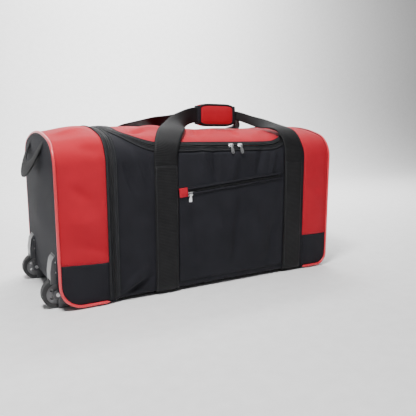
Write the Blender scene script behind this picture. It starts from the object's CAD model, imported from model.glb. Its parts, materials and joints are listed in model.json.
# %% [markdown]
# A rolling duffel bag is sewn from flat cloth, so every soft piece here is a sheet laid on one
# shared body shape. The hard pieces (wheels, housings, boards, runners, zip sliders) are the
# solids of the frame, and only get a material. Lengths are in metres, +X runs from the wheel end
# to the far end, and -Y is the front.

# %% Load the frame
import json

import bpy
import numpy as np
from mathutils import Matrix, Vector


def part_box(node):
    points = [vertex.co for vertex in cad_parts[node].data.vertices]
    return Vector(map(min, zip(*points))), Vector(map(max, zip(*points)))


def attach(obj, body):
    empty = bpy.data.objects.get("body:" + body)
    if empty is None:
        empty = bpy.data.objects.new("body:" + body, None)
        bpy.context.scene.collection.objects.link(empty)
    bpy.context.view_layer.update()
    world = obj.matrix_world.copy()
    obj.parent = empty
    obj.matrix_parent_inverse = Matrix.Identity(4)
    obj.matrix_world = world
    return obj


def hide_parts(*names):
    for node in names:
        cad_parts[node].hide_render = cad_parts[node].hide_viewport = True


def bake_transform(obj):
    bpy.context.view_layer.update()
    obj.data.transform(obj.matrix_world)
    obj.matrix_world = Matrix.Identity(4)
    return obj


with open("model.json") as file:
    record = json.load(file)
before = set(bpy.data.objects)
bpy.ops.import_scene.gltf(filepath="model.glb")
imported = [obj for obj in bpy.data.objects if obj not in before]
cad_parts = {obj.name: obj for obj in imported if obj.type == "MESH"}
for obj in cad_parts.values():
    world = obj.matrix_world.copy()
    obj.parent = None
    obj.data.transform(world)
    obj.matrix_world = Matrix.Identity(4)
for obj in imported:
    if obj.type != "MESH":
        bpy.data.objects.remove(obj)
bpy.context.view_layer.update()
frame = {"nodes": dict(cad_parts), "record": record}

# %% [markdown]
# The body's sizes are read from the frame's own boxes, so the cloth always fits the solids. The
# cross-section is a flat base, upright sides, round shoulders and a gently crowned top.

# %% Sizes of the body
def middle(name):
    """The centre of a frame solid's box, as x, y, z."""
    low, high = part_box(name)
    return (np.array(low) + np.array(high)) / 2


def unit(vectors):
    """Each vector divided by its own length."""
    return vectors / np.linalg.norm(vectors, axis=-1, keepdims=True)


def distances(path):
    """Length along a path up to each of its points: the running sum of the steps' lengths."""
    return np.r_[0, np.cumsum(np.linalg.norm(np.diff(path, axis=0), axis=1))]


WHEEL_END_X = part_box("wheel_end_panel")[0].x
FAR_END_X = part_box("far_end_panel")[1].x
BASE_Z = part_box("base_panel")[0].z
HALF_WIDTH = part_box("wheel_section_upper")[1].y
CREST_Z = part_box("lid")[1].z
GIRTH_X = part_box("wheel_section_upper")[1].x
FAR_SEAM_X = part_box("far_section_upper")[0].x
LOWER_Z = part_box("wheel_section_lower")[1].z
SHOULDER_R = 0.065
SHOULDER_Y = HALF_WIDTH - SHOULDER_R
CROWN_RISE = 0.081  # from the shoulder arc's centre up to the crest
SHOULDER_Z = CREST_Z - CROWN_RISE
WHEEL_CORNER_R = 0.048
FAR_CORNER_R = 0.030
SIDE = SHOULDER_Z - BASE_Z  # height of the upright side
print("body from", round(WHEEL_END_X, 3), "to", round(FAR_END_X, 3), "half width", round(HALF_WIDTH, 3))


# %% Cross-section as a table of arc length
def section_table(count=400):
    """Front foot, upright side, shoulder arc, crown arc, shoulder arc, side, rear foot.

    Each arc is its centre plus its radius times (cosine, sine) of an even run of angles.
    """
    rise = CREST_Z - SHOULDER_Z
    crown_r = (SHOULDER_Y**2 + rise**2 - SHOULDER_R**2) / (2 * (rise - SHOULDER_R))
    crown_z = CREST_Z - crown_r
    lean = np.arctan2(SHOULDER_Z - crown_z, -SHOULDER_Y)
    side = np.linspace(BASE_Z, SHOULDER_Z, count)
    bend = np.linspace(np.pi, lean, count)
    crown = np.linspace(lean, np.pi / 2, count)
    y = np.r_[
        np.full(count, -HALF_WIDTH),
        -SHOULDER_Y + SHOULDER_R * np.cos(bend[1:]),
        crown_r * np.cos(crown[1:]),
    ]
    z = np.r_[
        side,
        SHOULDER_Z + SHOULDER_R * np.sin(bend[1:]),
        crown_z + crown_r * np.sin(crown[1:]),
    ]
    y, z = np.r_[y, -y[-2::-1]], np.r_[z, z[-2::-1]]
    return distances(np.stack([y, z], -1)), y, z


GIRTH, SECTION_Y, SECTION_Z = section_table()
ROUND = GIRTH[-1]  # from the front foot over the top to the rear foot
SLOPE_Y, SLOPE_Z = np.gradient(SECTION_Y, GIRTH), np.gradient(SECTION_Z, GIRTH)
print("length round the section:", round(float(ROUND), 3))


def round_at(y):
    """Distance round the section to the point above y, measured from the front foot."""
    first = np.searchsorted(GIRTH, SIDE)
    last = np.searchsorted(GIRTH, ROUND - SIDE)
    return np.interp(y, SECTION_Y[first:last], GIRTH[first:last])


# %% [markdown]
# Cloth under load is never flat. It bellies out between seams and belts, pinches in at each
# seam, and has soft folds that run from the corners and the belts. All of it is one height field
# over the body, so that zips, belts and pockets laid on the cloth follow it too. A simulation
# would give folds that can't be placed. A field of smooth bumps can be.

# %% Height field of the cloth
ZIP_Y = 0.155
LID_X = (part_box("lid")[0].x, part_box("lid")[1].x)
BELT_X = [float(middle(name)[0]) for name in ("wheel_side_belt", "far_side_belt")]
BELT_HALF = 0.029
LID_CORNER = (0.098, 0.086)  # along the bag, and round it
SIDE_BELLY = 0.0045  # how far the side stands off between its seams
END_BELLY = 0.0040  # the same for the two end sections
LID_WAVE, LID_SAG = 0.0050, 0.0020  # the lid's long wave, and how far it hangs
BELT_PRESS = 0.0022  # how far a belt draws the side in
ZIP_ROUND = float(round_at(-ZIP_Y))
HINGE_ROUND = float(round_at(ZIP_Y))

# A fold is x and distance round of one end, the same of the other end, its width and its depth.
# FOLD_DEPTH multiplies every depth. A fold on the rear counts its distance from the rear foot.
FOLD_DEPTH = 2.4
FOLDS = np.array(
    [
        (-0.236, 0.004, -0.168, 0.040, 0.006, -0.0030),
        (-0.228, 0.020, -0.175, 0.062, 0.010, 0.0030),
        (-0.205, 0.330, -0.178, 0.255, 0.010, 0.0026),
        (-0.222, 0.300, -0.196, 0.235, 0.007, -0.0022),
        (-0.170, 0.320, -0.160, 0.280, 0.006, -0.0018),
        (-0.032, 0.335, -0.018, 0.265, 0.011, 0.0028),
        (0.000, 0.330, 0.012, 0.255, 0.008, -0.0026),
        (0.060, 0.315, 0.050, 0.250, 0.012, 0.0024),
        (0.150, 0.335, 0.128, 0.270, 0.010, -0.0024),
        (0.182, 0.320, 0.170, 0.262, 0.008, 0.0022),
        (-0.060, 0.190, -0.040, 0.060, 0.016, -0.0022),
        (0.005, 0.180, 0.030, 0.050, 0.020, 0.0030),
        (0.075, 0.200, 0.060, 0.070, 0.014, -0.0026),
        (0.125, 0.205, 0.140, 0.060, 0.018, 0.0028),
        (0.180, 0.150, 0.168, 0.040, 0.012, -0.0022),
        (-0.345, 0.260, -0.300, 0.225, 0.014, -0.0020),
        (-0.350, 0.190, -0.290, 0.170, 0.018, 0.0020),
        (-0.330, 0.130, -0.275, 0.115, 0.012, -0.0016),
        (-0.320, 0.345, -0.268, 0.330, 0.012, -0.0018),
        (-0.350, 0.420, -0.285, 0.440, 0.014, 0.0020),
        (0.305, 0.230, 0.350, 0.205, 0.014, -0.0018),
        (-0.185, 0.395, -0.150, 0.415, 0.007, -0.0034),
        (-0.160, 0.430, -0.080, 0.450, 0.016, 0.0030),
        (-0.030, 0.380, 0.010, 0.440, 0.010, -0.0030),
        (0.020, 0.400, 0.075, 0.470, 0.010, 0.0028),
        (0.095, 0.385, 0.120, 0.450, 0.008, -0.0030),
        (0.150, 0.380, 0.210, 0.430, 0.012, 0.0026),
        (-0.120, 0.500, 0.020, 0.520, 0.022, -0.0026),
        (0.060, 0.530, 0.200, 0.560, 0.020, 0.0026),
    ]
)
REAR_FOLDS = np.array(
    [
        (-0.200, 0.060, -0.150, 0.200, 0.016, 0.0026),
        (-0.060, 0.080, -0.030, 0.230, 0.018, -0.0026),
        (0.040, 0.040, 0.060, 0.180, 0.020, 0.0028),
        (0.120, 0.260, 0.150, 0.120, 0.014, -0.0024),
        (0.170, 0.060, 0.190, 0.200, 0.012, 0.0020),
    ]
)


def ridges(x, around, table):
    """Sum of soft ridges: depth times a bell curve of the distance to each ridge's own line."""
    total = np.zeros(np.broadcast(x, around).shape)
    for x0, r0, x1, r1, width, depth in table:
        dx, dr = x1 - x0, r1 - r0
        share = ((x - x0) * dx + (around - r0) * dr) / (dx * dx + dr * dr)
        inside = np.clip(share, 0, 1)
        gap = np.hypot(x - x0 - inside * dx, around - r0 - inside * dr)
        taper = 0.35 + 0.65 * np.sin(np.pi * inside)
        total += FOLD_DEPTH * depth * taper * np.exp(-((gap / width) ** 2))
    return total


def arch(t):
    """A smooth hump that is nought at 0 and 1 and one in the middle."""
    t = np.clip(t, 0, 1)
    return np.sin(np.pi * t)


def smooth_step(t):
    """Nought to one with level ends: t squared times three minus two t."""
    t = np.clip(t, 0, 1)
    return t * t * (3 - 2 * t)


def pinch(distance, width, depth):
    """A sewn seam draws the cloth in: minus a bell curve of the distance to the seam."""
    return -depth * np.exp(-((distance / width) ** 2))


def lid_edge_round(x):
    """Distance round to the lid's front edge at x: level, then a quarter ellipse at each corner."""
    into = np.maximum(LID_X[0] + LID_CORNER[0] - x, x - LID_X[1] + LID_CORNER[0])
    share = np.clip(into / LID_CORNER[0], 0, 1)
    return ZIP_ROUND + LID_CORNER[1] * (1 - np.sqrt(1 - share**2))


def swell(x, around):
    """How far the cloth stands off the plain body: bellies, seam pinches, folds and sag."""
    x, around = np.broadcast_arrays(np.asarray(x, float), np.asarray(around, float))
    height = np.minimum(around, ROUND - around)
    side = arch(height / SIDE) * (height > 0)
    top = arch((around - SIDE) / (ROUND - 2 * SIDE))
    wheel_part = arch((x - WHEEL_END_X) / (GIRTH_X - WHEEL_END_X))
    far_part = arch((FAR_END_X - x) / (FAR_END_X - FAR_SEAM_X))
    main_part = arch((x - GIRTH_X) / (FAR_SEAM_X - GIRTH_X)) ** 0.5
    wheel_part = np.where(x < GIRTH_X, wheel_part, 0)
    far_part = np.where(x > FAR_SEAM_X, far_part, 0)
    main_part = np.where((x > GIRTH_X) & (x < FAR_SEAM_X), main_part, 0)
    ends = wheel_part + far_part
    out = SIDE_BELLY * side * main_part + END_BELLY * (side + top) * ends
    sag = LID_WAVE * np.sin(2 * np.pi * (x + 0.245) / 0.46) - LID_SAG
    out += np.where((x > LID_X[0]) & (x < LID_X[1]), top**2 * main_part * sag, 0)
    for belt in BELT_X:
        press = np.exp(-(((x - belt) / (BELT_HALF + 0.004)) ** 4))
        out -= BELT_PRESS * press * side * main_part
    on_cloth = height > 0
    out += np.where(on_cloth, pinch(x - GIRTH_X, 0.012, 0.0022), 0)
    out += np.where(on_cloth, pinch(x - FAR_SEAM_X, 0.006, 0.0018), 0)
    end_area = (x < GIRTH_X) | (x > FAR_SEAM_X)
    out += np.where(end_area & on_cloth, pinch(height - (LOWER_Z - BASE_Z), 0.004, 0.0010), 0)
    near_end = np.minimum(x - WHEEL_END_X, FAR_END_X - x)
    fade = np.clip(near_end / 0.02, 0, 1) * np.clip(height / 0.02, 0, 1)
    out += fade * ridges(x, around, FOLDS)
    out += fade * ridges(x, ROUND - around, REAR_FOLDS)
    return np.where(on_cloth, out, 0)


print("cloth stands off by up to", round(float(swell(np.linspace(-0.3, 0.3, 200), 0.15).max()), 4))


# %% Laying things on the cloth
FOOT_R_MAIN, FOOT_R_END = 0.014, 0.004
SLUMP_DROP, SLUMP_RISE = 0.0125, 0.0040  # the wheel end's top goes down, and its lower side up
SLUMP_FROM_X = GIRTH_X - 0.012


def foot_radius(x):
    """The base edge is soft along the main body and tight where piping holds it."""
    inside = np.clip((x - GIRTH_X) / 0.02, 0, 1) * np.clip((FAR_SEAM_X - x) / 0.02, 0, 1)
    return FOOT_R_END + (FOOT_R_MAIN - FOOT_R_END) * inside


def slump(points):
    """The wheel end sags under its own weight: its top drops and its lower side rides up a little.

    Both grow with a smooth step from the girth seam to the end.
    """
    away = smooth_step((SLUMP_FROM_X - points[..., 0]) / (SLUMP_FROM_X - WHEEL_END_X))
    high = np.clip((points[..., 2] - 0.20) / (CREST_Z - 0.20), 0, 1) ** 1.3
    low = np.exp(-(((points[..., 2] - 0.10) / 0.06) ** 2))
    drop = away * (SLUMP_DROP * high - SLUMP_RISE * low)
    return points - drop[..., None] * np.array([0.0, 0.0, 1.0])


def drape(x, around, lift=0.0):
    """Points at x along and a distance round the bag, lifted off the cloth.

    Distances below nought or past the whole round are on the base. Near a foot the path is a
    quarter circle that replaces the sharp corner, and the normal turns with it.
    """
    x, around, lift = np.broadcast_arrays(
        np.asarray(x, float), np.asarray(around, float), np.asarray(lift, float)
    )
    inner = np.clip(around, 0, ROUND)
    y = np.interp(inner, GIRTH, SECTION_Y)
    z = np.interp(inner, GIRTH, SECTION_Z)
    slope_y = np.interp(inner, GIRTH, SLOPE_Y)
    slope_z = np.interp(inner, GIRTH, SLOPE_Z)
    size = np.hypot(slope_y, slope_z)
    normal_y, normal_z = -slope_z / size, slope_y / size
    side = np.where(around < ROUND / 2, -1.0, 1.0)
    past = np.where(side < 0, around, ROUND - around)  # height above the foot, or below nought
    on_base = past < 0
    y = np.where(on_base, side * (HALF_WIDTH + past), y)
    z = np.where(on_base, BASE_Z, z)
    normal_y = np.where(on_base, 0.0, normal_y)
    normal_z = np.where(on_base, -1.0, normal_z)
    radius = foot_radius(x)
    turning = np.abs(past) < radius
    angle = (past + radius) / (2 * radius) * np.pi / 2
    arc_y = side * (HALF_WIDTH - radius + radius * np.sin(angle))
    arc_z = BASE_Z + radius - radius * np.cos(angle)
    y, z = np.where(turning, arc_y, y), np.where(turning, arc_z, z)
    normal_y = np.where(turning, side * np.sin(angle), normal_y)
    normal_z = np.where(turning, -np.cos(angle), normal_z)
    off = swell(x, around) + lift
    return slump(np.stack([x, y + normal_y * off, z + normal_z * off], -1))


# %% [markdown]
# Every sheet is a grid of points. One helper turns grids into a mesh with a UV map in metres,
# which the weave patterns read, and another gives it thickness towards the inside of the bag.

# %% Grid to mesh
def cells(rows, columns, start=0):
    """The four corners of every cell of a grid, whose points count row by row from start."""
    index = np.arange(rows * columns).reshape(rows, columns) + start
    return np.stack([index[:-1, :-1], index[1:, :-1], index[1:, 1:], index[:-1, 1:]], -1)


def mesh_from(name, points, quads, uv):
    """An object with this mesh, smooth shaded, with each corner's UV taken from its point."""
    mesh = bpy.data.meshes.new(name)
    mesh.from_pydata(points.tolist(), [], quads.tolist())
    layer = mesh.uv_layers.new(name="cloth")
    layer.data.foreach_set("uv", uv[quads.ravel()].astype(np.float32).ravel())
    mesh.polygons.foreach_set("use_smooth", np.ones(len(quads), bool))
    mesh.update()
    piece = bpy.data.objects.new(name, mesh)
    bpy.context.scene.collection.objects.link(piece)
    return piece


def sewn(name, *grids, flip=False):
    """One mesh from several grids of points and UVs that meet at seams."""
    points, quads, uvs, start = [], [], [], 0
    for spots, uv in grids:
        rows, columns = spots.shape[:2]
        quads.append(cells(rows, columns, start).reshape(-1, 4))
        points.append(spots.reshape(-1, 3))
        uvs.append(uv.reshape(-1, 2))
        start += rows * columns
    quads = np.concatenate(quads)
    if flip:
        quads = quads[:, ::-1]
    return mesh_from(name, np.concatenate(points), quads, np.concatenate(uvs))


def thicken(piece, thickness, offset=-1.0):
    """A Solidify modifier: the sheet's own thickness, with closed rims."""
    solid = piece.modifiers.new("thickness", "SOLIDIFY")
    solid.thickness = thickness
    solid.offset = offset
    return piece


def span(low, high, step):
    """Evenly spaced values from low to high, at most step apart."""
    return np.linspace(low, high, max(2, int(np.ceil(abs(high - low) / step)) + 1))


def strip(x, low, high, step=0.005, lift=0.0):
    """A draped grid whose columns run from low(x) to high(x), as point and UV arrays."""
    low, high = np.broadcast_to(low, x.shape), np.broadcast_to(high, x.shape)
    count = max(2, int(np.ceil((high - low).max() / step)) + 1)
    share = np.linspace(0, 1, count)
    around = low[:, None] + (high - low)[:, None] * share
    along = np.broadcast_to(x[:, None], around.shape)
    return drape(along, around, lift), np.stack([along, around], -1)


# %% [markdown]
# Polyester cloth is a plain weave with a soft sheen, brighter at a glancing angle. The weave is
# worked out from the UV map in metres, one sine for the warp and one for the weft, so its threads
# run with the cloth. Larger noise in Object coordinates varies the colour a little, as rubbed and
# dusty cloth does, so no two panels look stamped.

# %% Node trees
class Recipe:
    """A material's node tree, with short calls that add a node and link its inputs."""

    def __init__(self, name):
        self.material = bpy.data.materials.new(name)
        self.material.use_nodes = True
        self.tree = self.material.node_tree
        self.tree.nodes.clear()

    def node(self, kind, settings=None, **inputs):
        """Adds a node. Inputs that are sockets are linked, and the rest are set.

        An input is named by its own name, with _ for a space, or by i and its number.
        """
        made = self.tree.nodes.new("ShaderNode" + kind)
        for key, value in (settings or {}).items():
            setattr(made, key, value)
        for key, value in inputs.items():
            socket = made.inputs[int(key[1:]) if key[1:].isdigit() else key.replace("_", " ")]
            if isinstance(value, bpy.types.NodeSocket):
                self.tree.links.new(value, socket)
            else:
                socket.default_value = value
        return made.outputs

    def math(self, operation, a, b=0.0, c=0.0):
        """One value from up to three: a with b, and c where the operation takes it."""
        return self.node("Math", {"operation": operation}, i0=a, i1=b, i2=c)[0]

    def wave(self, along, period):
        """A sine that repeats every period metres, from nought to one."""
        turned = self.math("MULTIPLY", along, 2 * np.pi / period)
        return self.math("MULTIPLY_ADD", self.math("SINE", turned), 0.5, 0.5)

    def noise(self, vector, scale, detail=3.0):
        """Noise from nought to one, with scale patches to the metre."""
        return self.node("TexNoise", None, Vector=vector, Scale=scale, Detail=detail)[0]

    def blend(self, factor, a, b):
        """Colour a where factor is nought and b where it is one."""
        return self.node("Mix", {"data_type": "RGBA"}, Factor=factor, i6=a, i7=b)[2]

    def shade(self, colour, roughness, height=None, depth=0.0002, **settings):
        """The Principled shader with a bump from height, as this material's surface."""
        if height is not None:
            settings["Normal"] = self.node("Bump", None, Strength=1.0, Distance=depth, Height=height)[0]
        surface = self.node("BsdfPrincipled", None, Base_Color=colour, Roughness=roughness, **settings)
        self.node("OutputMaterial", None, Surface=surface[0])
        return self.material


def cloth(name, deep, bright, thread, roughness=0.72, sheen=0.35, tint=(1, 1, 1, 1), depth=0.00035):
    """Plain weave: the product of a warp sine and a weft sine, with patches of wear."""
    recipe = Recipe(name)
    place = recipe.node("TexCoord")
    u, v = recipe.node("SeparateXYZ", None, Vector=place[2])[:2]
    weave = recipe.math("MULTIPLY", recipe.wave(u, thread), recipe.wave(v, thread))
    worn = recipe.noise(place[3], 22.0, 5.0)
    fine = recipe.noise(place[3], 900.0, 2.0)
    tone = recipe.math("ADD", recipe.math("MULTIPLY", worn, 0.6), recipe.math("MULTIPLY", fine, 0.4))
    tone = recipe.math("ADD", tone, recipe.math("MULTIPLY", recipe.math("SUBTRACT", weave, 0.25), 0.5))
    colour = recipe.blend(tone, deep, bright)
    height = recipe.math("ADD", weave, recipe.math("MULTIPLY", fine, 0.8))
    rough = recipe.math("ADD", recipe.math("MULTIPLY", worn, 0.12), roughness - 0.06)
    return recipe.shade(
        colour, rough, height, depth, Sheen_Weight=sheen, Sheen_Roughness=0.45, Sheen_Tint=tint,
        Specular_IOR_Level=0.16,
    )


def ribbed(name, deep, bright, rib, edge_rib=None, roughness=0.62):
    """Webbing and zip tape: heavy ribs across the run, fine ones along it."""
    recipe = Recipe(name)
    place = recipe.node("TexCoord")
    across, along = recipe.node("SeparateXYZ", None, Vector=place[2])[:2]
    ribs = recipe.wave(along, rib)
    fine = recipe.wave(across, edge_rib or rib * 0.6)
    dust = recipe.noise(place[3], 60.0, 4.0)
    tone = recipe.math("ADD", recipe.math("MULTIPLY", ribs, 0.55), recipe.math("MULTIPLY", dust, 0.45))
    height = recipe.math("ADD", ribs, recipe.math("MULTIPLY", fine, 0.35))
    return recipe.shade(
        recipe.blend(tone, deep, bright), roughness, height, 0.0004, Sheen_Weight=0.01,
        Specular_IOR_Level=0.2,
    )


def moulded(name, colour, roughness, grain=400.0, metal=0.0, depth=0.00008, **settings):
    """Moulded plastic, rubber or plated metal: a fine grain, and rubbed patches."""
    recipe = Recipe(name)
    place = recipe.node("TexCoord")
    grit = recipe.noise(place[3], grain, 3.0)
    rubbed = recipe.noise(place[3], 35.0, 4.0)
    paler = tuple(min(1.0, c * 1.35 + 0.01) for c in colour[:3]) + (1.0,)
    rough = recipe.math("ADD", recipe.math("MULTIPLY", rubbed, 0.16), roughness - 0.08)
    return recipe.shade(
        recipe.blend(rubbed, colour, paler), rough, grit, depth, Metallic=metal, **settings
    )


# %% The finishes
RED_CLOTH = cloth(
    "red_polyester", (0.36, 0.004, 0.012, 1), (0.66, 0.014, 0.036, 1), 0.0011, 0.58, 0.06,
    (1.0, 0.55, 0.62, 1),
)
BLACK_CLOTH = cloth(
    "charcoal_polyester", (0.0035, 0.0035, 0.0052, 1), (0.0260, 0.0260, 0.0340, 1), 0.0011, 0.66,
    0.015, (0.85, 0.88, 1.0, 1),
)
WEBBING = ribbed("black_webbing", (0.0020, 0.0020, 0.0023, 1), (0.0190, 0.0190, 0.0205, 1), 0.0034)
ZIP_TAPE = ribbed(
    "charcoal_zip_tape", (0.0045, 0.0047, 0.0055, 1), (0.026, 0.027, 0.031, 1), 0.0014, 0.0012
)
ZIP_COIL = ribbed(
    "nylon_zip_teeth", (0.003, 0.003, 0.0035, 1), (0.022, 0.022, 0.024, 1), 0.0021, 0.004, 0.4
)
THREAD = moulded("grey_thread", (0.030, 0.031, 0.036, 1), 0.6, 2500.0)
RED_THREAD = moulded("red_thread", (0.30, 0.018, 0.030, 1), 0.55, 2500.0)
RED_PIPING = moulded(
    "glossy_red_piping", (0.62, 0.020, 0.036, 1), 0.34, 900.0, Coat_Weight=0.35, Coat_Roughness=0.25
)
NICKEL = moulded("nickel_zip_metal", (0.86, 0.86, 0.88, 1), 0.36, 1500.0, 1.0, 0.00004)
STEEL = moulded("steel", (0.48, 0.48, 0.49, 1), 0.34, 1200.0, 1.0, 0.00004)
BOARD = moulded("stiffening_board", (0.050, 0.050, 0.052, 1), 0.6, 250.0)
RUNNER = moulded("runner_plastic", (0.014, 0.014, 0.015, 1), 0.45, 500.0)
HOUSING = moulded("housing_plastic", (0.045, 0.046, 0.050, 1), 0.36, 500.0, Coat_Weight=0.15)
HUB = moulded("hub_plastic", (0.11, 0.11, 0.115, 1), 0.45, 600.0)
TYRE = moulded("wheel_rubber", (0.013, 0.013, 0.014, 1), 0.58, 700.0, depth=0.00015)
print("materials:", len(bpy.data.materials))

# %% [markdown]
# The sliders, pulls, ring, boards, runners, wheels and their housings are stiff, so the frame's
# solids already have their shape. Only their finish is missing.

# %% Which finish each slot has
FINISH = {
    "zip_metal": NICKEL,
    "board": BOARD,
    "runner_plastic": RUNNER,
    "housing_plastic": HOUSING,
    "hub_plastic": HUB,
    "tyre": TYRE,
    "steel": STEEL,
    "red_fabric": RED_CLOTH,
    "grip_fabric": RED_CLOTH,
    "black_fabric": BLACK_CLOTH,
    "webbing": WEBBING,
    "zip_tape": ZIP_TAPE,
    "zip_coil": ZIP_COIL,
    "piping": RED_PIPING,
}
for part in frame["record"]["subparts"]:
    solid = frame["nodes"][part["node"]]
    solid.data.materials.clear()
    solid.data.materials.append(FINISH[part["material_slot"]])


def dress(piece, body, slot, nodes=(), material=None):
    """The piece rides its body, has its slot's finish, and stands for the frame's plain solids."""
    piece.data.materials.clear()
    piece.data.materials.append(material or FINISH[slot])
    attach(piece, body)
    if nodes:
        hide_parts(*nodes)
    print(piece.name, len(piece.data.polygons), "faces on", body)
    return piece


# %% [markdown]
# The side panels go from the base edge up to the lid's zip. The lid's outline is a U with
# quarter-ellipse corners, so the panel's top edge follows the same line, one zip gap away. The
# cloth is one layer, given its thickness inwards, so that it still looks like cloth when the lid
# is open.

# %% Side panels, gussets and lid
GAP = 0.0008
UNDER_TAPE = 0.005  # the lid's cloth stops this far inside the edge of the tape sewn on it
WALL = 0.0024
SEAM_ROUND = ZIP_ROUND + LID_CORNER[1]  # the gussets' front seam
REAR_SEAM_ROUND = ROUND - SEAM_ROUND
UNDER = -0.016  # the side panels turn under the base edge this far


def panel(name, body, slot, node, *grids, flip=False):
    """A sewn sheet of the cloth's own thickness, in place of the frame's plain solid."""
    return dress(thicken(sewn(name, *grids, flip=flip), WALL), body, slot, [node])


LEVEL_X = span(LID_X[0] + LID_CORNER[0], LID_X[1] - LID_CORNER[0], 0.005)[1:-1]
corner_run = LID_CORNER[0] * (1 - np.cos(np.linspace(0, np.pi / 2, 22)))
inside_lid = np.r_[
    LID_X[0] - GAP, LID_X[0] + corner_run, LEVEL_X, LID_X[1] - corner_run[::-1], LID_X[1] + GAP
]
to_girth = span(GIRTH_X, LID_X[0] - GAP, 0.004)
to_far_seam = span(LID_X[1] + GAP, FAR_SEAM_X, 0.004)
main_x = np.r_[to_girth, inside_lid[1:-1], to_far_seam]

panel(
    "front_side", "bag", "black_fabric", "front_side_panel",
    strip(main_x, UNDER, lid_edge_round(main_x) - GAP),
)
panel(
    "rear_side", "bag", "black_fabric", "rear_side_panel",
    strip(main_x, HINGE_ROUND + GAP, ROUND - UNDER),
    strip(to_girth, REAR_SEAM_ROUND, HINGE_ROUND + GAP),
    strip(to_far_seam, REAR_SEAM_ROUND, HINGE_ROUND + GAP),
)
for end, gusset_x in (("wheel", to_girth), ("far", to_far_seam)):
    gusset = strip(gusset_x, SEAM_ROUND, REAR_SEAM_ROUND)
    panel(end + "_gusset", "bag", "black_fabric", end + "_side_gusset", gusset)

lid_x = np.unique(np.clip(inside_lid, LID_X[0] + UNDER_TAPE, LID_X[1] - UNDER_TAPE))
lid_grid = strip(lid_x, lid_edge_round(lid_x) + UNDER_TAPE, HINGE_ROUND - GAP)
panel("lid_cloth", "lid", "red_fabric", "lid", lid_grid)

# %% [markdown]
# Each end of the bag is red above and black below, with a seam between. The lower corners are
# round, so the lower edge of the side cloth climbs a quarter circle there.

# %% End sections
def foot_climb(x):
    """Height of the side cloth's lower edge above the base: a quarter circle at each end."""
    wheel = np.clip(WHEEL_END_X + WHEEL_CORNER_R - x, 0, WHEEL_CORNER_R)
    far = np.clip(x - FAR_END_X + FAR_CORNER_R, 0, FAR_CORNER_R)
    return (
        WHEEL_CORNER_R - np.sqrt(WHEEL_CORNER_R**2 - wheel**2)
        + FAR_CORNER_R - np.sqrt(FAR_CORNER_R**2 - far**2)
    )


LOWER_ROUND = LOWER_Z - BASE_Z
wheel_x = np.r_[
    WHEEL_END_X + WHEEL_CORNER_R * (1 - np.cos(np.linspace(0, np.pi / 2, 16))),
    span(WHEEL_END_X + WHEEL_CORNER_R, GIRTH_X, 0.004)[1:],
]
far_x = np.r_[
    span(FAR_SEAM_X, FAR_END_X - FAR_CORNER_R, 0.004)[:-1],
    FAR_END_X - FAR_CORNER_R * (1 - np.cos(np.linspace(np.pi / 2, 0, 14))),
]
for end, x in (("wheel", wheel_x), ("far", far_x)):
    upper = strip(x, LOWER_ROUND, ROUND - LOWER_ROUND)
    panel(end + "_end_upper", "bag", "red_fabric", end + "_section_upper", upper)
    panel(
        end + "_end_lower", "bag", "black_fabric", end + "_section_lower",
        strip(x, foot_climb(x), LOWER_ROUND),
        strip(x, ROUND - LOWER_ROUND, ROUND - foot_climb(x)),
    )

# %% [markdown]
# An end panel is one piece with the cloth under it: it comes along the base, turns up round the
# corner and closes the end. Each column of the grid starts at the seam on the base and stops at
# the arch, and the middle bellies out a little. The wheel end has a square cut for each wheel.

# %% End panels
HOUSING_HALF = (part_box("front_wheel_housing")[1].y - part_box("front_wheel_housing")[0].y) / 2
HOUSING_R = 0.038
WHEEL_Y = abs(middle("front_wheel_housing")[1])
WHEEL_Z = middle("front_tyre")[2]


def end_panel(name, end_x, inner_x, corner, belly, cut_low, cut_high, cut_y):
    """Base run, corner arc, then up to the arch. Points are (x, z) along the run for every y.

    cut_low to cut_high along the run, and the y ranges in cut_y, are left open.
    """
    facing = 1 if end_x > inner_x else -1
    base_run = abs(end_x - inner_x) - corner
    arc = corner * np.pi / 2
    around = span(SIDE, ROUND - SIDE, 0.0062)
    y = np.interp(around, GIRTH, SECTION_Y)
    marks = np.array([edge for pair in cut_y for edge in pair])
    y = np.unique(np.round(np.r_[y, marks], 6))
    arched = SECTION_Z > SHOULDER_Z
    top_z = np.interp(np.interp(y, SECTION_Y[arched], GIRTH[arched]), GIRTH, SECTION_Z)
    top_z[[0, -1]] = SHOULDER_Z
    shared = np.r_[span(0, cut_low, 0.006), span(cut_low, cut_high, 0.004)[1:]]
    rest = np.linspace(0, 1, 44)[1:]
    whole = base_run + arc + (top_z - BASE_Z - corner)
    run = np.concatenate(
        [np.broadcast_to(shared[:, None], (len(shared), len(y))),
         cut_high + rest[:, None] * (whole - cut_high)]
    )
    turn = np.clip((run - base_run) / corner, 0, np.pi / 2)
    x = inner_x + facing * (np.minimum(run, base_run) + corner * np.sin(turn))
    z = BASE_Z + corner * (1 - np.cos(turn)) + np.maximum(run - base_run - arc, 0)
    wide = np.clip(1 - (y / HALF_WIDTH) ** 2, 0, 1) ** 0.7
    tall = smooth_step((z - 0.115) / 0.08) * smooth_step((top_z - z) / 0.05)
    ripple = 1 + 0.18 * np.sin(26 * y + 9 * z) + 0.12 * np.sin(17 * y - 31 * z + 1.0)
    x = x + facing * belly * wide * tall * ripple
    points = slump(np.stack([x, np.broadcast_to(y, x.shape), z], -1))
    uv = np.stack([points[..., 1], run], -1)
    in_run = (run[:-1, 0] >= cut_low - 1e-6) & (run[1:, 0] <= cut_high + 1e-6)
    middle_y = (y[:-1] + y[1:]) / 2
    in_y = np.zeros(len(middle_y), bool)
    for low, high in cut_y:
        in_y |= (middle_y > low) & (middle_y < high)
    quads = cells(*run.shape)[~(in_run[:, None] & in_y[None, :])]
    if facing < 0:
        quads = quads[:, ::-1]
    return mesh_from(name, points.reshape(-1, 3), quads, uv.reshape(-1, 2))


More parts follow.
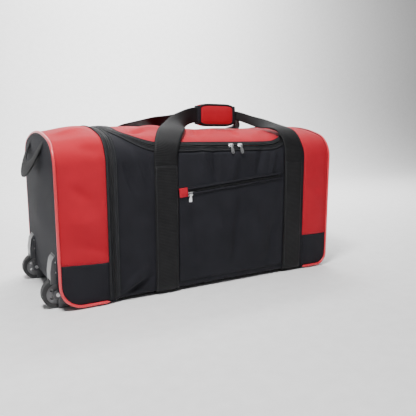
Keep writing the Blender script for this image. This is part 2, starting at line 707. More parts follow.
HEM = 0.001  # the cloth laps this far over each housing
cut_reach = HOUSING_R - HEM
cut_half = HOUSING_HALF - HEM
wheel_section = abs(GIRTH_X - WHEEL_END_X)
cut_start = wheel_section - np.sqrt(cut_reach**2 - (WHEEL_Z - BASE_Z) ** 2) - 0.002
cut_end = wheel_section + WHEEL_CORNER_R * (np.pi / 2 - 2) + WHEEL_Z + cut_reach - BASE_Z
cut_sides = [(side * WHEEL_Y - cut_half, side * WHEEL_Y + cut_half) for side in (-1, 1)]
wheel_panel = end_panel(
    "wheel_end_cloth", WHEEL_END_X, GIRTH_X, WHEEL_CORNER_R, 0.007, cut_start, cut_end, cut_sides
)
dress(thicken(wheel_panel, WALL), "bag", "black_fabric", ["wheel_end_panel"])
far_panel = end_panel(
    "far_end_cloth", FAR_END_X, FAR_SEAM_X, FAR_CORNER_R, 0.0025, 0.03, 0.05, cut_y=[]
)
dress(thicken(far_panel, WALL), "bag", "black_fabric", ["far_end_panel"])

# %% Base
base_y = span(-HALF_WIDTH - UNDER, HALF_WIDTH + UNDER, 0.012)
base_x = span(GIRTH_X, FAR_SEAM_X, 0.012)
base = np.stack(np.broadcast_arrays(base_x[:, None], base_y[None, :], BASE_Z), -1)
panel("base_cloth", "bag", "black_fabric", "base_panel", (base, base[..., :2]), flip=True)

# %% [markdown]
# Piping is a cord wrapped in shiny red cloth and sewn into the end seams, so it stands proud as a
# round ridge. It is a circle carried along the seam: a centre line, plus the radius times cosine
# and sine of an even run of angles in the plane across the line.

# %% Piping
def tube(path, radius, sides=12, closed_ends=True):
    """A circle of this radius carried along a path, as points and UVs, with pinched ends.

    The circle's first direction is carried from one station to the next, less its part along the
    tangent there, so that the tube does not twist.
    """
    tangent = unit(np.gradient(path, axis=0))
    guide = np.empty_like(tangent)
    guide[0] = unit(np.cross(tangent[0], (0.31, 0.62, 0.72)))
    for step in range(1, len(path)):
        along = guide[step - 1] @ tangent[step]
        guide[step] = unit(guide[step - 1] - tangent[step] * along)
    other = np.cross(tangent, guide)
    angle = np.linspace(0, 2 * np.pi, sides + 1)
    radii = np.full(len(path), radius)
    if closed_ends:
        radii[[0, -1]] = radius * 0.05
    cosine, sine = np.cos(angle)[None, :, None], np.sin(angle)[None, :, None]
    points = path[:, None] + radii[:, None, None] * (cosine * guide[:, None] + sine * other[:, None])
    uv = np.stack(np.broadcast_arrays((angle * radius)[None, :], distances(path)[:, None]), -1)
    return points, uv


PIPING_R = 0.0032


def end_seam(end_x, inner_x, corner, stop):
    """The seam round one end: base edge, corner arc, upright, arch, and back down the far side."""
    facing = 1 if end_x > inner_x else -1
    run = span(0, abs(end_x - inner_x) - corner - stop, 0.006)
    turn = np.linspace(0, np.pi / 2, 16)[1:]
    x = np.r_[inner_x + facing * (stop + run), end_x - facing * corner * (1 - np.sin(turn))]
    z = np.r_[np.full(len(run), BASE_Z), BASE_Z + corner * (1 - np.cos(turn))]
    up = span(z[-1], SHOULDER_Z, 0.006)[1:]
    x, z = np.r_[x, np.full(len(up), end_x)], np.r_[z, up]
    over = span(SIDE, ROUND - SIDE, 0.006)[1:-1]
    upright = np.full(len(x), HALF_WIDTH)
    y = np.r_[-upright, np.interp(over, GIRTH, SECTION_Y), upright]
    z = np.r_[z, np.interp(over, GIRTH, SECTION_Z), z[::-1]]
    x = np.r_[x, np.full(len(over), end_x), x[::-1]]
    return np.stack([x, y, z], -1)


for end, end_x, inner_x, corner in (
    ("wheel", WHEEL_END_X, GIRTH_X, WHEEL_CORNER_R),
    ("far", FAR_END_X, FAR_SEAM_X, FAR_CORNER_R),
):
    seam = slump(end_seam(end_x, inner_x, corner, 0.012 if end == "wheel" else 0.002))
    away = np.array([np.sign(end_x), 0, 0])
    outward = seam * (0, 1, 0) * 0.006
    piping = sewn(end + "_piping", tube(seam + outward, PIPING_R, 12))
    dress(piping, "bag", "piping", [end + "_end_piping"])
    flange = sewn(end + "_piping_flange", tube(seam - away * 0.0016 - outward, 0.0026, 8))
    dress(flange, "bag", "black_fabric")

# %% [markdown]
# A zip is two woven tapes with a coil of nylon teeth sewn along each. The main zip follows the
# lid's U outline. It is drawn once as a flat line in the two distances (along the bag and round
# it), and bands are laid on the cloth at an offset from that line: the body's tape outside it,
# the lid's tape inside it, and a coil at each edge.

# %% The main zip's line
def outline(count=46):
    """From the rear end of one arm, round both corners, to the rear end of the other arm."""
    stop = float(round_at(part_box("body_zip_tape")[1].y))
    arm = span(stop, SEAM_ROUND, 0.006)
    turn = np.linspace(0, np.pi / 2, count)
    run = LID_CORNER[0] * (1 - np.cos(turn))
    rise = SEAM_ROUND - LID_CORNER[1] * np.sin(turn)
    at_end = np.ones(len(arm))
    x = np.r_[
        at_end * LID_X[0], LID_X[0] + run[1:], LEVEL_X, LID_X[1] - run[::-1], at_end[1:] * LID_X[1]
    ]
    around = np.r_[arm, rise[1:], np.full(len(LEVEL_X), ZIP_ROUND), rise[::-1], arm[::-1][1:]]
    return np.stack([x, around], -1)


def band(line, offsets, lifts):
    """A strip laid beside a flat line: each offset is measured across the line, to its left.

    lifts gives the height over the cloth at each offset, so a band may have ridges.
    """
    along = unit(np.gradient(line, axis=0))
    left = np.stack([-along[:, 1], along[:, 0]], -1)
    spots = line[:, None] + left[:, None] * offsets[None, :, None]
    uv = np.stack(np.broadcast_arrays(offsets[None, :], distances(line)[:, None]), -1)
    return drape(spots[..., 0], spots[..., 1], np.broadcast_to(lifts, spots.shape[:2])), uv


def ridged(width, base, ridge_at, ridge_height, ridge_width=0.0016, inner=0.0):
    """Offsets across a tape and its height there: flat, with a bell-shaped ridge at each place."""
    offsets = np.linspace(inner, width, 22)
    lifts = base + sum(
        ridge_height * np.exp(-(((offsets - place) / ridge_width) ** 2)) for place in ridge_at
    )
    lifts[[0, -1]] = 0.0
    return offsets, lifts


TAPE = 0.0012  # thickness of a zip's tape
TAPE_WIDTH = 0.013
TAPE_CLOTH = 0.0007
COIL_WIDTH = 0.003
COIL_TOP = 0.003
zip_line = outline()
tape_offsets, tape_lifts = ridged(TAPE_WIDTH, TAPE, (0.0062, 0.0112), 0.0012, inner=GAP + 0.0002)
coil_angle = np.linspace(0, np.pi, 7)
coil_offsets = GAP + 0.0001 + COIL_WIDTH / 2 * (1 - np.cos(coil_angle))
COIL_FOOT = TAPE * 0.8
coil_lifts = COIL_FOOT + (COIL_TOP - COIL_FOOT) * np.sin(coil_angle) ** 0.6
for owner, body, side in (("lid", "lid", 1), ("body", "bag", -1)):
    tape = band(zip_line, side * tape_offsets, tape_lifts)
    coil = band(zip_line, side * coil_offsets, coil_lifts)
    tape = thicken(sewn(owner + "_zip_band", tape, flip=side < 0), TAPE_CLOTH)
    coil = sewn(owner + "_zip_teeth", coil, flip=side < 0)
    dress(tape, body, "zip_tape", [owner + "_zip_tape"])
    dress(coil, body, "zip_coil", [owner + "_zip_coil"])

# %% [markdown]
# Along the rear the lid isn't cut free: a strip of tape covers the fold it turns on. The wheel
# end has its own zip right round the bag, which lets that section spread, and it is sewn between
# two ridged tapes.

# %% Hinge strip and the zip round the bag
hinge_x = span(LID_X[0] + 0.002, LID_X[1] - 0.002, 0.006)
hinge_strip = sewn(
    "hinge_strip", strip(hinge_x, HINGE_ROUND + GAP, HINGE_ROUND + 0.020, 0.003, TAPE)
)
dress(thicken(hinge_strip, 0.001), "bag", "zip_tape", ["lid_hinge_tape"])

girth_round = span(0.002, ROUND - 0.002, 0.006)
girth_x = np.full(len(girth_round), middle("girth_zip_tape")[0])
girth_line = np.stack([girth_x, girth_round], -1)
girth_offsets, girth_lifts = ridged(0.0125, TAPE, (0.0075, 0.0118), 0.0016, 0.0014, GAP)
for side, letter in ((1, "a"), (-1, "b")):
    tape = band(girth_line, side * girth_offsets, girth_lifts)
    tape = sewn("girth_zip_band_" + letter, tape, flip=side < 0)
    dress(thicken(tape, TAPE_CLOTH), "bag", "zip_tape", ["girth_zip_tape"])
coil_reach = COIL_WIDTH + GAP
girth_offsets = np.linspace(-coil_reach, coil_reach, 17)
humps = np.abs(np.sin(np.pi * girth_offsets / coil_reach)) ** 0.6
girth_lifts = COIL_FOOT + (COIL_TOP - COIL_FOOT) * humps
girth_coil = sewn("girth_zip_teeth", band(girth_line, girth_offsets, girth_lifts))
dress(girth_coil, "bag", "zip_coil", ["girth_zip_coil"])

# %% [markdown]
# The pocket is a second layer of cloth sewn on the front between the two belts. Its mouth is a
# zip that climbs towards the far end, set between two narrow folded welts. The cloth below it
# hangs a little loose, so it stands off in the middle.

# %% Front pocket
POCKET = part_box("front_pocket_panel")
POCKET_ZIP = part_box("pocket_zip_tape")
zip_half = 0.0105
zip_slope = np.tan(np.radians(5.3))
MOUTH_HALF = 0.0045  # the cloth stops this far from the middle of the zip
zip_from = np.array([POCKET_ZIP[0].x + 0.001, POCKET_ZIP[0].z + zip_half - BASE_Z])
zip_to_x = POCKET_ZIP[1].x - 0.001


def pocket_mouth(x):
    """Distance round to the pocket zip's middle: a straight line that climbs 5.3 degrees."""
    return zip_from[1] + 0.003 + (x - zip_from[0]) * zip_slope


def pocket_lift(x, around):
    """The pocket's layer, and a slack belly between its seams."""
    across = arch((x - POCKET[0].x) / (POCKET[1].x - POCKET[0].x)) ** 0.6
    up = arch((around - 0.018) / (pocket_mouth(x) - 0.028)) ** 0.8
    return 0.0015 + 0.0042 * across * up


pocket_x = span(POCKET[0].x, POCKET[1].x, 0.004)
mouth = pocket_mouth(pocket_x)
pocket_low = POCKET[0].z - BASE_Z
share = np.linspace(0, 1, 48)
pocket_around = pocket_low + (mouth - MOUTH_HALF - pocket_low)[:, None] * share
pocket_along = np.broadcast_to(pocket_x[:, None], pocket_around.shape)
pocket_points = drape(pocket_along, pocket_around, pocket_lift(pocket_along, pocket_around))
pocket = sewn("pocket_cloth", (pocket_points, np.stack([pocket_along, pocket_around], -1)))
dress(thicken(pocket, 0.0013), "bag", "black_fabric", ["front_pocket_panel"])
facing = strip(pocket_x, mouth + MOUTH_HALF, lid_edge_round(pocket_x) - 0.016, 0.004, 0.0012)
dress(thicken(sewn("pocket_facing", facing), 0.0011), "bag", "black_fabric")

mouth_x = span(zip_from[0], zip_to_x, 0.005)
mouth_line = np.stack([mouth_x, pocket_mouth(mouth_x)], -1)
welt_offsets = np.linspace(0.0035, 0.0085, 9)
welt_lifts = 0.0014 + 0.0030 * np.sin(np.pi * (welt_offsets - 0.0035) / 0.005) ** 0.7
for side, name in ((1, "upper"), (-1, "lower")):
    welt = band(mouth_line, side * welt_offsets, welt_lifts)
    welt = sewn("pocket_welt_" + name, welt, flip=side < 0)
    dress(thicken(welt, 0.0006), "bag", "black_fabric")
flat_lifts = np.array([0, 1, 1, 1, 1, 1, 1, 1, 0]) * 0.0013
flat_tape = sewn("pocket_zip_band", band(mouth_line, np.linspace(-0.006, 0.006, 9), flat_lifts))
dress(thicken(flat_tape, TAPE_CLOTH), "bag", "zip_tape", ["pocket_zip_tape"])
coil_half = 0.0028
coil_offsets = np.linspace(-coil_half, coil_half, 11)
coil_lifts = TAPE + 0.0016 * np.abs(np.sin(np.pi * coil_offsets / coil_half))
pocket_coil = sewn("pocket_zip_teeth", band(mouth_line, coil_offsets, coil_lifts))
dress(pocket_coil, "bag", "zip_coil", ["pocket_zip_coil"])

# %% The red tab at the start of the pocket zip
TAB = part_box("pocket_zip_tab")
tab_line = np.stack([span(TAB[0].x, TAB[1].x, 0.0015)] * 2, -1)
tab_line[:, 1] = pocket_mouth(tab_line[:, 0])
tab_half = (TAB[1].z - TAB[0].z) / 2
tab_offsets = np.linspace(-tab_half, tab_half, 13)
tab_lifts = 0.0040 + 0.0012 * np.cos(np.pi * tab_offsets / (2 * tab_half))
zip_tab = sewn("pocket_zip_tab_cloth", band(tab_line, tab_offsets, tab_lifts))
dress(thicken(zip_tab, 0.0028), "bag", "red_fabric", ["pocket_zip_tab"])

# %% [markdown]
# Two belts of wide ribbed webbing go right round under the bag and carry its weight. They lie
# flat on the cloth and draw it in. Each is sewn down along both edges.

# %% Belts
BELT_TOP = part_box("wheel_side_belt")[1].z - BASE_Z
BELT_HALF_WIDTH = (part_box("wheel_side_belt")[1].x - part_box("wheel_side_belt")[0].x) / 2
BELT_LIFT = 0.0042
BELT_JOIN = HALF_WIDTH - 0.0005  # the two halves meet under the middle of the base


def belt(x_middle, low, high):
    """A flat strip of webbing laid round the body, thinner at its two woven edges."""
    share = np.linspace(-1, 1, 13)[:, None]
    edge = 1 - 0.45 * np.abs(share) ** 8
    x, around = np.broadcast_arrays(x_middle + BELT_HALF_WIDTH * share, span(low, high, 0.005))
    return drape(x, around, BELT_LIFT * edge), np.stack([x, around], -1)


for node, x_middle in zip(("wheel_side_belt", "far_side_belt"), BELT_X):
    front_half = belt(x_middle, -BELT_JOIN, BELT_TOP)
    rear_half = belt(x_middle, ROUND - BELT_TOP, ROUND + BELT_JOIN)
    piece = thicken(sewn(node + "_webbing", front_half, rear_half), 0.0021)
    dress(piece, "bag", "webbing", [node])

# %% [markdown]
# Above the belts the same webbing leaves the bag and rises to the carry handles. A strap is a
# flat ribbon carried along a smooth path, and its width turns slowly from lying along the bag to
# standing on edge in the grip. It is modelled directly, because a simulation wipes out so thin a
# strip. The stations below are the frame's own strap lines.

# %% Smooth paths and ribbons
def smooth_path(stations, count, first=None, last=None):
    """A cubic spline through the stations, spaced by their chord lengths.

    Each end leaves in its given direction. The slopes between come from one linear solve.
    """
    knots = np.asarray(stations, float)
    t = distances(knots)
    h = np.diff(t)
    size = len(t)
    system = np.zeros((size, size))
    goal = np.zeros((size, 3))
    inner = np.arange(1, size - 1)
    system[inner, inner - 1] = h[1:]
    system[inner, inner] = 2 * (h[:-1] + h[1:])
    system[inner, inner + 1] = h[:-1]
    rise = np.diff(knots, axis=0) / h[:, None]
    goal[1:-1] = 3 * (h[1:, None] * rise[:-1] + h[:-1, None] * rise[1:])
    for row, near, end, direction in ((0, 1, 0, first), (-1, -2, -1, last)):
        system[row, row] = 1.0
        if direction is None:
            system[row, near] = 0.5
            goal[row] = 1.5 * rise[end]
        else:
            goal[row] = np.asarray(direction, float)
    slope = np.linalg.solve(system, goal)
    at = np.linspace(0, t[-1], count)
    cell = np.clip(np.searchsorted(t, at, side="right") - 1, 0, size - 2)
    w = ((at - t[cell]) / h[cell])[:, None]
    gap = h[cell][:, None]
    return (
        (2 * w**3 - 3 * w**2 + 1) * knots[cell]
        + (w**3 - 2 * w**2 + w) * gap * slope[cell]
        + (3 * w**2 - 2 * w**3) * knots[cell + 1]
        + (w**3 - w**2) * gap * slope[cell + 1]
    )


def ribbon(path, across, half, cup=0.0, columns=11):
    """A flat strip along a path: the path plus across times an even run from -half to half.

    cup lifts the edges along the strip's own face, as webbing that is pulled curls.
    """
    tangent = unit(np.gradient(path, axis=0))
    across = unit(across - tangent * (across * tangent).sum(1)[:, None])
    face = np.cross(tangent, across)
    share = np.linspace(-1, 1, columns)
    sideways = np.broadcast_to(half, len(path))[:, None] * share
    lift = np.broadcast_to(cup, len(path))[:, None] * (share**2 - 0.5)
    points = path[:, None] + across[:, None] * sideways[..., None] + face[:, None] * lift[..., None]
    return points, np.stack(np.broadcast_arrays(sideways, distances(path)[:, None]), -1)


# %% Carry handle straps
BELT_ROOT_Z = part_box("wheel_side_belt")[1].z
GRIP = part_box("front_grip_half")
far_leg = [(0.244, 0.1645, 0.340), (0.238, 0.140, 0.378), (0.222, 0.092, 0.394), (0.194, 0.038, 0.408)]
LEG_STATIONS = {  # x, distance from the middle, height, from just above the belt to the grip
    ("front", "wheel"): [
        (-0.123, 0.1645, 0.336), (-0.110, 0.147, 0.363), (-0.078, 0.108, 0.387), (-0.022, 0.042, 0.406)
    ],
    ("rear", "wheel"): [
        (-0.124, 0.1648, 0.346), (-0.112, 0.142, 0.379), (-0.080, 0.096, 0.399), (-0.022, 0.040, 0.407)
    ],
    ("front", "far"): far_leg,
    ("rear", "far"): far_leg,
}
GATHERED = 0.012  # half width where the webbing is folded into the grip
WEB_CUP = 0.0022  # how far the edges of pulled webbing curl
LOOSELY_GATHERED = 0.020  # the same for the front strap at the wheel end
GRIP_MIDDLE_Z = (GRIP[0].z + GRIP[1].z) / 2
GRIP_MIDDLE_Y = 0.0069
ROOT_X = {"wheel": BELT_X[0], "far": BELT_X[1]}
GRIP_X = {"wheel": GRIP[0].x, "far": GRIP[1].x}
STATIONS = 90


def handle_strap(side, end):
    """One leg of a carry handle: upright at the belt, flat on edge where it enters the grip."""
    sign = -1 if side == "front" else 1
    turn = 1 if end == "wheel" else -1
    stations = [
        (ROOT_X[end], HALF_WIDTH + 0.0022, BELT_ROOT_Z - 0.014),
        (ROOT_X[end], HALF_WIDTH + 0.0017, BELT_ROOT_Z + 0.002),
        *LEG_STATIONS[side, end],
        (GRIP_X[end], GRIP_MIDDLE_Y, GRIP_MIDDLE_Z),
        (GRIP_X[end] + turn * 0.02, GRIP_MIDDLE_Y, GRIP_MIDDLE_Z),
    ]
    path = smooth_path(stations, STATIONS, (0, 0, 1), (turn, 0, 0)) * (1, sign, 1)
    at = np.linspace(0, 1, STATIONS)
    twist = smooth_step((at - 0.38) / 0.56)
    across = np.stack([turn * (1 - twist), np.zeros(STATIONS), -twist], -1)
    gathered = LOOSELY_GATHERED if (side, end) == ("front", "wheel") else GATHERED
    half = BELT_HALF_WIDTH + (gathered - BELT_HALF_WIDTH) * smooth_step((at - 0.32) / 0.48)
    return ribbon(path, across, half, -sign * turn * WEB_CUP * arch((at - 0.12) / 0.8))


for (side, end) in LEG_STATIONS:
    strap = thicken(sewn(f"{side}_{end}_strap", handle_strap(side, end)), 0.0020, 0.0)
    strap.data.materials.append(WEBBING)
    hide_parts(f"{side}_handle_{end}_leg")
    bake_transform(strap)
    print(strap.name, len(strap.data.polygons), "faces, bending from bag to", side + "_handle")

# %% [markdown]
# Each handle ends in half of a padded grip: foam wrapped in red cloth, with a black binding
# sewn round its edge. The two halves close face to face. A pad's section is a rounded slab, flat
# on its inner face and crowned outside, and it gets a little lower and thinner at both ends.
# The foam would be simulated if it were slack. It is tight, so a crowned form says it better.

# %% Grip pads
def pad(centre, size, flat_side, belly, rows=40, columns=48, power=3.2):
    """A crowned slab: a superellipse section carried along x, closed to a seam at both ends.

    A point of the section is (cos t, sin t), each with its size to the power 2/power and its
    own sign. The inner half is pressed flat, and the outer half is pushed out by belly.
    """
    along = -np.cos(np.linspace(0, np.pi, rows))
    t = np.linspace(0, 2 * np.pi, columns + 1)
    across = np.sign(np.cos(t)) * np.abs(np.cos(t)) ** (2 / power)
    thick = np.sign(np.sin(t)) * np.abs(np.sin(t)) ** (2 / power)
    taper = (1 - np.abs(along) ** 7 * 0.999) ** 0.42
    at_tip = np.abs(along) > 0.9999
    height = size[2] / 2 * (0.93 + 0.07 * taper) * (1 - 0.02 * along**2) * (1 - 0.999 * at_tip)
    depth = size[1] / 2 * taper
    swollen = belly * (1 - across**2) * np.clip(thick * flat_side, 0, 1)
    crease = 1 + 0.03 * np.sin(9 * along + 1.3)[:, None] * np.cos(2 * t)[None, :]
    x = np.broadcast_to(centre[0] + size[0] / 2 * along[:, None], (rows, columns + 1))
    y = centre[1] + depth[:, None] * (thick + swollen * flat_side)[None, :] * crease
    z = centre[2] + height[:, None] * across[None, :]
    uv = np.stack([x, np.broadcast_to(t * (size[1] + size[2]) / np.pi, x.shape)], -1)
    return np.stack([x, y, z], -1), uv


BINDING_R = 0.0042
CUFF = 0.010  # length of the dark cuff at each end of a grip


def rounded_loop(centre, half_x, half_z, corner, count=120):
    """A rectangle with rounded corners in the x, z plane, as a closed path."""
    t = np.linspace(0, 2 * np.pi, count + 1)
    x = np.sign(np.cos(t)) * np.abs(np.cos(t)) ** (2 * corner)
    z = np.sign(np.sin(t)) * np.abs(np.sin(t)) ** (2 * corner)
    return np.stack([centre[0] + half_x * x, np.full(len(t), centre[1]), centre[2] + half_z * z], -1)


for side in ("front", "rear"):
    sign = -1 if side == "front" else 1
    low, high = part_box(side + "_grip_half")
    centre = middle(side + "_grip_half")
    length, depth, height = high - low
    filling = pad(centre, (length - 0.012, depth * 0.92, height - 0.004), sign, 0.20)
    red_pad = sewn(side + "_grip_pad", filling)
    dress(red_pad, side + "_handle", "grip_fabric", [side + "_grip_half"])
    rim = centre + (0, sign * 0.0010, 0)
    rim = rounded_loop(rim, length / 2 - BINDING_R, height / 2 - 0.0036, 0.22)
    binding = sewn(side + "_grip_binding", tube(rim, BINDING_R, 12, closed_ends=False))
    dress(binding, side + "_handle", "grip_fabric", material=WEBBING)
    for tag, x_middle in (("wheel", low.x + CUFF / 2), ("far", high.x - CUFF / 2)):
        cuff_size = (CUFF, depth * 0.94, height - 0.010)
        cuff = pad((x_middle, centre[1], centre[2]), cuff_size, sign, 0.05, 14, 36, 5)
        piece = sewn(f"{side}_grip_cuff_{tag}", cuff)
        dress(piece, side + "_handle", "grip_fabric", material=BLACK_CLOTH)

# %% [markdown]
# The wheel end has a grab loop of narrow webbing under the top edge, and it hangs down in a U.
# The far end has a padded haul handle across it and a steel ring on a small tab, for a lock or a
# tag. Their webbing is again flat ribbon on a smooth path.

# %% Wheel-end loop
def both_sides(stations, *between):
    """Stations on the -Y side, those between, and the same stations again on the +Y side."""
    return [(x, -y, z) for x, y, z in stations] + [*between] + stations[::-1]


LOOP_HALF, LOOP_WIDENS = 0.011, 0.007  # half width at its ends, and how much more in the middle
loop_leg = [(-0.3722, 0.077, 0.366), (-0.384, 0.068, 0.338), (-0.396, 0.042, 0.308)]
loop_path = smooth_path(both_sides(loop_leg, (-0.400, 0.0, 0.297)), STATIONS)
loop_across = np.cross(np.gradient(loop_path, axis=0), (-1.0, 0, 0.35))
loop_half = LOOP_HALF + LOOP_WIDENS * arch(np.linspace(0, 1, STATIONS)) ** 0.7
grab_loop = sewn("wheel_end_grab_loop", ribbon(slump(loop_path), loop_across, loop_half, 0.0012))
dress(thicken(grab_loop, 0.0024, 0.0), "wheel_end_loop", "webbing", ["wheel_end_loop"])

# %% Haul handle, its patches and the ring's tab
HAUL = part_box("haul_handle_pad")
haul_middle = middle("haul_handle_pad")
deep, wide, tall = HAUL[1] - HAUL[0]
pad_points, pad_uv = pad((0, 0, 0), (wide, deep * 0.92, tall * 0.96), 1, 0.12)
pad_points = pad_points[..., [1, 0, 2]] * (1, -1, 1) + haul_middle  # turned to lie along y
haul_pad = sewn("haul_pad", (pad_points, pad_uv))
dress(haul_pad, "haul_handle", "black_fabric", ["haul_handle_pad"])
web_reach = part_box("haul_handle_webbing")[1].y - 0.014
web_leg = [
    (FAR_END_X + 0.0045, web_reach, 0.272), (FAR_END_X + 0.010, web_reach - 0.020, 0.259),
    (haul_middle[0], 0.055, haul_middle[2]),
]
web_path = smooth_path(both_sides(web_leg), 80)
web_across = np.cross(np.gradient(web_path, axis=0), (1.0, 0, 0))
haul_web = sewn("haul_webbing", ribbon(web_path, web_across, 0.0118))
dress(thicken(haul_web, 0.0022, 0.0), "haul_handle", "webbing", ["haul_handle_webbing"])
PATCH_Y, PATCH_Z = 0.100, 0.270
PATCH_HALF = (0.023, 0.026)
patch_grids = []
for sign in (-1, 1):
    patch_y = span(-PATCH_HALF[0], PATCH_HALF[0], 0.004)[:, None]
    patch_z = span(-PATCH_HALF[1], PATCH_HALF[1], 0.004)[None, :]
    edge = np.maximum(np.abs(patch_y / PATCH_HALF[0]), np.abs(patch_z / PATCH_HALF[1])) ** 10
    patch_x = FAR_END_X + 0.0018 + 0.0014 * (1 - edge)
    corners = np.broadcast_arrays(patch_x, sign * PATCH_Y + patch_y, PATCH_Z + patch_z)
    patch_grids.append((np.stack(corners, -1), np.stack(corners[1:], -1)))
patches = sewn("haul_patches", *patch_grids)
dress(thicken(patches, 0.0012), "bag", "webbing", ["haul_handle_patches"])
RING_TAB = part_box("d_ring_tab")
tab_y = span(RING_TAB[0].y, RING_TAB[1].y, 0.003)
turn = np.linspace(0, np.pi, 12)
tab_x, _, tab_z = middle("d_ring_tab")
tab_r = (RING_TAB[1].x - RING_TAB[0].x) / 2
fold_x, fold_z = tab_x + (tab_r - 0.0008) * np.sin(turn), tab_z + tab_r * 0.9 * np.cos(turn)
profile_x = np.r_[FAR_END_X + 0.0012, FAR_END_X + 0.0016, fold_x, FAR_END_X + 0.0008]
profile_z = np.r_[RING_TAB[1].z, RING_TAB[1].z - 0.002, fold_z, RING_TAB[0].z + 0.0005]
tab_grid = np.stack(np.broadcast_arrays(profile_x[None, :], tab_y[:, None], profile_z[None, :]), -1)
ring_tab = sewn("ring_tab", (tab_grid, tab_grid[..., 1:]), flip=True)
dress(thicken(ring_tab, 0.0010), "bag", "webbing", ["d_ring_tab"])

# %% [markdown]
# Stitches are what make the panels read as sewn. One stitch is a long eight-sided grain of only
# twelve faces, and a row is that grain set at an even pitch along a line on the cloth, all as one
# mesh. Each grain's own axes are the line's direction and the cloth's outward side.

# %% Stitches
STITCH = 0.0036  # length
STITCH_HALF, STITCH_HEIGHT = 0.00045, 0.0004
STITCH_PITCH = 0.0055
ON_TAPE = TAPE + 0.0004  # height of the thread over the cloth


def along_path(path, values, at):
    """The values given at a path's points, read off at these distances along it."""
    length = distances(path)
    return np.stack([np.interp(at, length, values[:, i]) for i in range(3)], -1)


def grains(paths, outs):
    """Stitches along several paths. outs gives each path's outward side at every point."""
    t = np.linspace(0, 2 * np.pi, 7)[:-1]
    ring = np.stack([np.zeros(6), np.cos(t) * STITCH_HALF, np.sin(t) * STITCH_HEIGHT], -1)
    tip = np.array([STITCH / 2, 0, 0])
    shape = np.concatenate([ring * 0.3 - tip, ring, ring * 0.3 + tip])
    cell = np.arange(6)
    side = np.stack([cell, cell + 6, (cell + 1) % 6 + 6, (cell + 1) % 6], -1)
    caps = np.array([[0, 1, 2, 3], [0, 3, 4, 5], [15, 14, 13, 12], [17, 16, 15, 12]])
    faces = np.concatenate([side, side + 6, caps])
    all_points, all_faces, start = [], [], 0
    for path, out in zip(paths, outs):
        at = np.arange(STITCH_PITCH / 2, distances(path)[-1], STITCH_PITCH)
        reach = STITCH_PITCH * 0.2
        along = unit(along_path(path, path, at + reach) - along_path(path, path, at - reach))
        out = along_path(path, out, at)
        out = unit(out - along * (out * along).sum(1)[:, None])
        axes = np.stack([along, np.cross(out, along), out], 1)
        points = along_path(path, path, at)[:, None] + np.einsum("ka,nab->nkb", shape, axes)
        all_points.append(points.reshape(-1, 3))
        first = (np.arange(len(at)) * len(shape))[:, None, None] + start
        all_faces.append((faces[None] + first).reshape(-1, 4))
        start += len(at) * len(shape)
    return np.concatenate(all_points), np.concatenate(all_faces)


def stitch_rows(name, rows, material, body, slot):
    """Rows of stitches on the cloth. A row is x, distance round and lift."""
    paths, outs = [], []
    for x, around, lift in rows:
        x, around, lift = np.broadcast_arrays(x, around, lift)
        base = drape(x, around, lift)
        paths.append(base)
        outs.append(drape(x, around, lift + 0.001) - base)
    points, faces = grains(paths, outs)
    piece = mesh_from(name, points, faces, points[:, :2])
    return dress(piece, body, slot, material=material)


def beside(line, offset, lift):
    """A row at an offset across a flat line, for stitch_rows."""
    along = unit(np.gradient(line, axis=0))
    return line[:, 0] - along[:, 1] * offset, line[:, 1] + along[:, 0] * offset, lift


girth_rows = [beside(girth_line, side * 0.0098, ON_TAPE) for side in (-1, 1)]
stitch_rows("girth_stitches", girth_rows, THREAD, "bag", "zip_tape")
stitch_rows("zip_stitches_body", [beside(zip_line, -0.0087, ON_TAPE)], THREAD, "bag", "zip_tape")
stitch_rows("zip_stitches_lid", [beside(zip_line, 0.0087, ON_TAPE)], THREAD, "lid", "zip_tape")
belt_rows = []
for x_middle in BELT_X:
    for edge in (-1, 1):
        x = x_middle + edge * (BELT_HALF_WIDTH - 0.0035)
        for low, high in ((0.006, BELT_TOP - 0.003), (ROUND - BELT_TOP + 0.003, ROUND - 0.006)):
            belt_rows.append((x, span(low, high, 0.006), BELT_LIFT + 0.0001))
stitch_rows("belt_stitches", belt_rows, THREAD, "bag", "webbing")
pocket_rows = [beside(mouth_line, side * 0.0100, 0.0019) for side in (-1, 1)]
stitch_rows("pocket_stitches", pocket_rows, THREAD, "bag", "black_fabric")
section_rows = []
for x_row in (GIRTH_X - 0.0155, FAR_SEAM_X + 0.004):
    section_rows.append((x_row, span(LOWER_ROUND, ROUND - LOWER_ROUND, 0.005), 0.0002))
for x_ends in ((WHEEL_END_X + 0.004, GIRTH_X - 0.016), (FAR_SEAM_X + 0.004, FAR_END_X - 0.004)):
    for around in (LOWER_ROUND + 0.0045, ROUND - LOWER_ROUND - 0.0045):
        section_rows.append((span(*x_ends, 0.005), around, 0.0002))
stitch_rows("section_stitches", section_rows, RED_THREAD, "bag", "red_fabric")

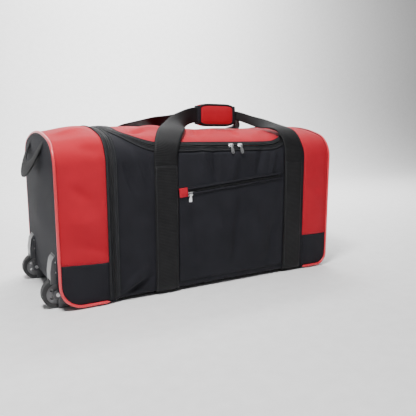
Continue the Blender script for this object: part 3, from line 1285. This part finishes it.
# %% [markdown]
# The bag is seen from the front, a little to the wheel end and slightly above, at a normal lens.
# A pale floor curves up behind it, as in a small studio. One lamp hangs high at the front left, so
# that its light rakes down the side, and broad ones light the top, the backdrop and the wheel end.

# %% Camera, light and floor
camera_data = bpy.data.cameras.new("view")
camera = bpy.data.objects.new("view", camera_data)
bpy.context.scene.collection.objects.link(camera)
bpy.context.scene.camera = camera
camera_data.lens = 40.64
camera.location = (-0.573, -1.132, 0.375)
pitch = np.radians(9.17)
look = Vector((0.4997, 0.8662, 0)).normalized() * np.cos(pitch)
look.z = -np.sin(pitch)
camera.rotation_euler = look.to_track_quat("-Z", "Y").to_euler()
turn = np.linspace(0, np.pi / 2, 24)
profile_y = np.r_[-5.0, 1.6 + 1.2 * np.sin(turn), 2.8]
profile_z = np.r_[0.0, 1.2 - 1.2 * np.cos(turn), 5.0]
floor_x = np.array([-6.0, 6.0])
sweep = np.stack(np.broadcast_arrays(floor_x[:, None], profile_y[None, :], profile_z[None, :]), -1)
floor_piece = sewn("studio_floor", (sweep, sweep[..., :2]))
floor_piece.data.materials.append(moulded("pale_floor", (0.86, 0.86, 0.86, 1), 0.8, 60.0))
world = bpy.data.worlds.new("studio")
bpy.context.scene.world = world
world.use_nodes = True
world.node_tree.nodes["Background"].inputs[0].default_value = (1, 1, 1, 1)
world.node_tree.nodes["Background"].inputs[1].default_value = 0.14
LIGHTS = {  # place, the spot it faces, watts and width
    "key": ((-0.55, -0.62, 1.55), (-0.05, -0.1, 0.32), 36, 0.35),
    "top": ((0.15, 0.25, 2.1), (0.0, 0.0, 0.3), 9, 1.2),
    "wall": ((0.9, 1.1, 2.2), (1.0, 2.9, 0.5), 170, 2.0),
    "side": ((-2.2, -0.3, 1.2), (-0.3, 0, 0.2), 0.8, 1.2),
}
for name, (place, aim, energy, width) in LIGHTS.items():
    lamp = bpy.data.lights.new(name, "AREA")
    lamp.energy = energy
    lamp.size = width
    light = bpy.data.objects.new(name, lamp)
    bpy.context.scene.collection.objects.link(light)
    light.location = place
    light.rotation_euler = (Vector(aim) - Vector(place)).to_track_quat("-Z", "Y").to_euler()
